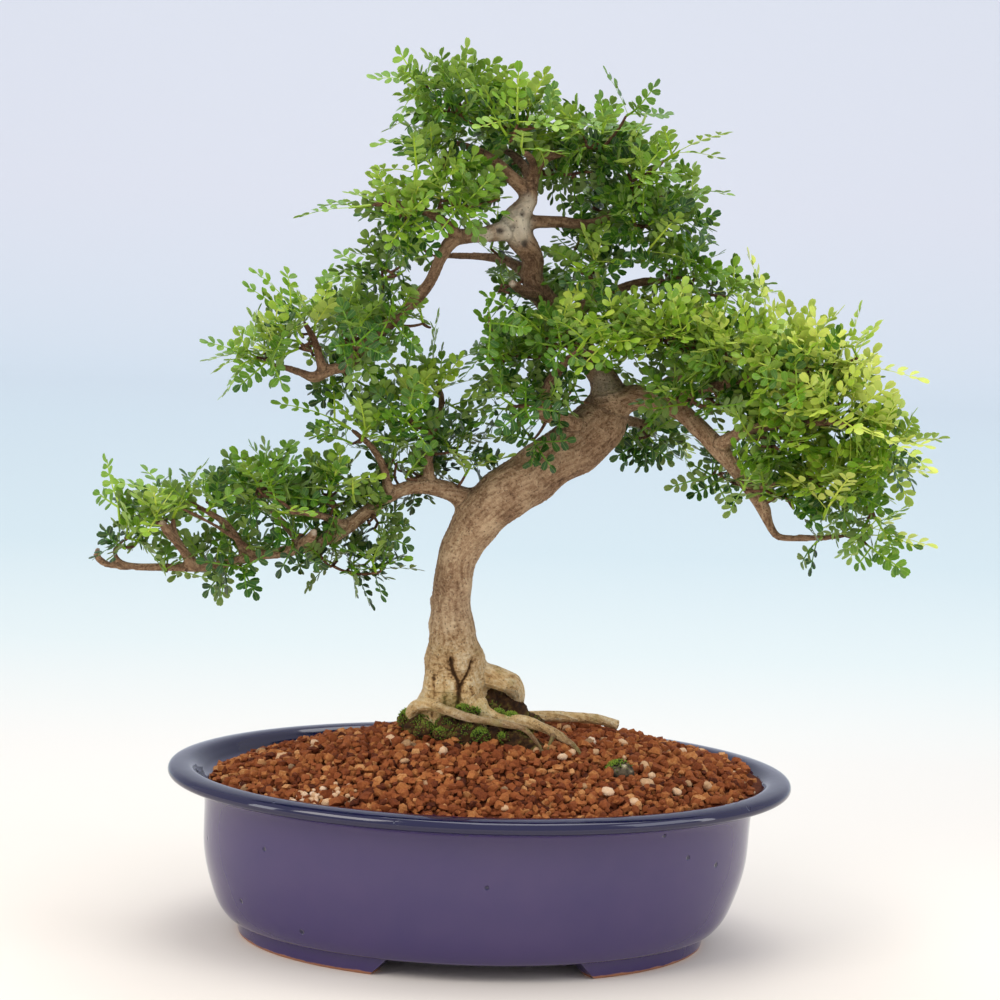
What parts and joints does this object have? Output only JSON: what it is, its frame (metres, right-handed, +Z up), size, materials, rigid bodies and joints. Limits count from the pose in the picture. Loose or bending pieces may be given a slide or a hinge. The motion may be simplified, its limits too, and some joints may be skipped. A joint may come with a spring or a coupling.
{
  "type": "chinese pepper bonsai",
  "caption": "Chinese pepper bonsai: curved flared trunk with surface roots and layered pads of pinnate leaves, planted in clay grit in an oval glazed pot.",
  "frame": {"origin": "on the ground, under the middle of the box round the whole plant and its pot; the pot's own middle is 14 mm to its left", "axes": "+Z up, +X to the right and -Y to the front, as the picture shows the plant"},
  "size_m": [0.4604, 0.2558, 0.4891],
  "materials": {
    "glaze": "glossy cobalt glaze",
    "grit": "matt fired clay grains",
    "bark": "matt bark",
    "leaf": "satin leaf",
    "screen_plastic": "matt black"
  },
  "bodies": {
    "root": {"drain_screen_left": "screen_plastic", "drain_screen_right": "screen_plastic", "pot": "glaze", "soil": "grit", "spray_01": "leaf", "spray_02": "leaf", "spray_03": "leaf", "spray_04": "leaf", "spray_05": "leaf", "spray_06": "leaf", "spray_07": "leaf", "spray_08": "leaf", "spray_09": "leaf", "spray_10": "leaf", "spray_11": "leaf", "spray_12": "leaf", "spray_13": "leaf", "spray_14": "leaf", "spray_15": "leaf", "spray_16": "leaf", "spray_17": "leaf", "spray_18": "leaf", "spray_19": "leaf", "spray_20": "leaf", "spray_21": "leaf", "spray_22": "leaf", "spray_23": "leaf", "spray_24": "leaf", "spray_25": "leaf", "spray_26": "leaf", "spray_27": "leaf", "spray_28": "leaf", "spray_29": "leaf", "spray_30": "leaf", "spray_31": "leaf", "spray_32": "leaf", "spray_33": "leaf", "spray_34": "leaf", "spray_35": "leaf", "spray_36": "leaf", "spray_37": "leaf", "spray_38": "leaf", "spray_39": "leaf", "spray_40": "leaf", "spray_41": "leaf", "spray_42": "leaf", "spray_43": "leaf", "spray_44": "leaf", "spray_45": "leaf", "spray_46": "leaf", "spray_47": "leaf", "spray_48": "leaf", "spray_49": "leaf", "spray_50": "leaf", "tree": "bark"}
  },
  "joints": []
}
